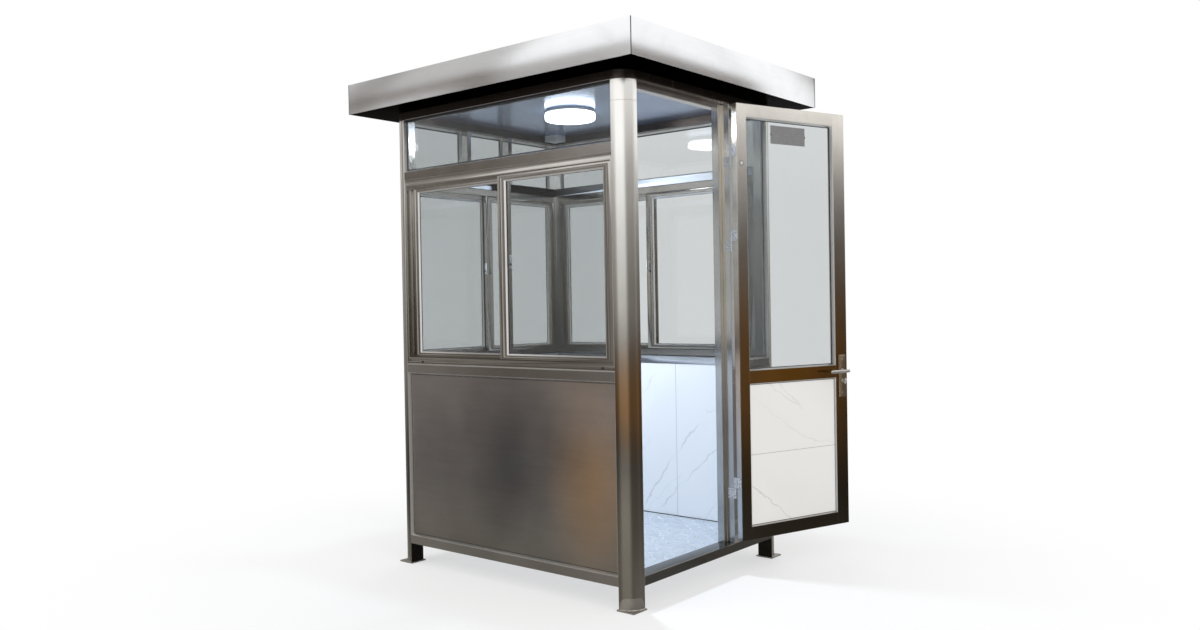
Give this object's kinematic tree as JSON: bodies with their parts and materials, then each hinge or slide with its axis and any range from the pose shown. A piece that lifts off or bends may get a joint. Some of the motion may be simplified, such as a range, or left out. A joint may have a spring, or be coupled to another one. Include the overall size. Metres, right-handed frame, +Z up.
{
  "type": "security guard booth",
  "caption": "Walk-in stainless steel guard booth with round-cornered posts, sliding windows, overhanging box roof and a half-glazed swing door.",
  "frame": {"origin": "centre of the four anchor holes, on the ground under the middle of the booth", "axes": "+Z up, the front window wall faces -Y, the door wall faces +X"},
  "size_m": [1.9725, 1.6175, 2.425],
  "materials": {
    "posts": "vertical brushed stainless",
    "frame_steel": "satin stainless",
    "panel_steel": "horizontally brushed stainless",
    "fascia_steel": "long-grain brushed stainless",
    "soffit_steel": "bright-rolled stainless",
    "tread_plate": "bright five-bar tread",
    "lining": "white board with grey marble veins",
    "ceiling_sheet": "smooth pale grey",
    "clear_glass": "clear float glass",
    "window_steel": "satin stainless window sections",
    "bright_steel": "polished",
    "dark_metal": "satin dark grey",
    "lamp_white": "opal diffuser",
    "white_plastic": "moulded",
    "galvanised": "galvanised"
  },
  "bodies": {
    "root": {"post_front_left": "posts", "post_front_right": "posts", "post_back_right": "posts", "post_back_left": "posts", "foot_plates": "frame_steel", "base_rails": "frame_steel", "floor_bearers": "galvanised", "floor_plate": "tread_plate", "front_panel": "panel_steel", "back_panel": "panel_steel", "left_panel": "panel_steel", "side_light_panel": "panel_steel", "front_lining": "lining", "back_lining": "lining", "left_lining": "lining", "side_light_lining": "lining", "sill_rails": "frame_steel", "transom_bars": "frame_steel", "left_mullions": "frame_steel", "transom_glass": "clear_glass", "side_light_glass": "clear_glass", "front_window_frame": "window_steel", "back_window_frame": "window_steel", "left_window_frame": "window_steel", "front_sashes": "window_steel", "back_sashes": "window_steel", "left_sashes": "window_steel", "sash_glass": "clear_glass", "window_latches": "dark_metal", "strike_jamb": "frame_steel", "hinge_jamb": "frame_steel", "door_head": "frame_steel", "header_ring": "frame_steel", "ceiling": "ceiling_sheet", "soffit": "soffit_steel", "fascia": "fascia_steel", "roof_deck": "galvanised", "ceiling_lamp": "lamp_white", "junction_box": "white_plastic", "hinge_jamb_leaves": "bright_steel"},
    "door": {"door_frame": "frame_steel", "door_glass": "clear_glass", "glass_plate": "dark_metal", "door_panel": "panel_steel", "door_lining": "lining", "hinge_door_leaves": "bright_steel", "lock_plates": "bright_steel"},
    "lever": {"lever_handle": "bright_steel"},
    "turn": {"thumb_turn": "bright_steel"}
  },
  "joints": [
    {"name": "door_swing", "type": "hinge", "parent": "root", "child": "door", "pos_m": [0.758, 0.1825, 1.2], "axis": [0, 0, 1], "range_deg": [-161.9, 10]},
    {"name": "lever_turn", "type": "hinge", "parent": "door", "child": "lever", "pos_m": [0.99104, 0.80858, 0.938], "axis": [0.9505, -0.3107, 0], "range_deg": [-45, 45], "stiffness_Nm_per_rad": 0.9},
    {"name": "thumb_turn", "type": "hinge", "parent": "door", "child": "turn", "pos_m": [0.99104, 0.80858, 0.887], "axis": [0.9505, -0.3107, 0], "range_deg": [-90, 90]}
  ]
}
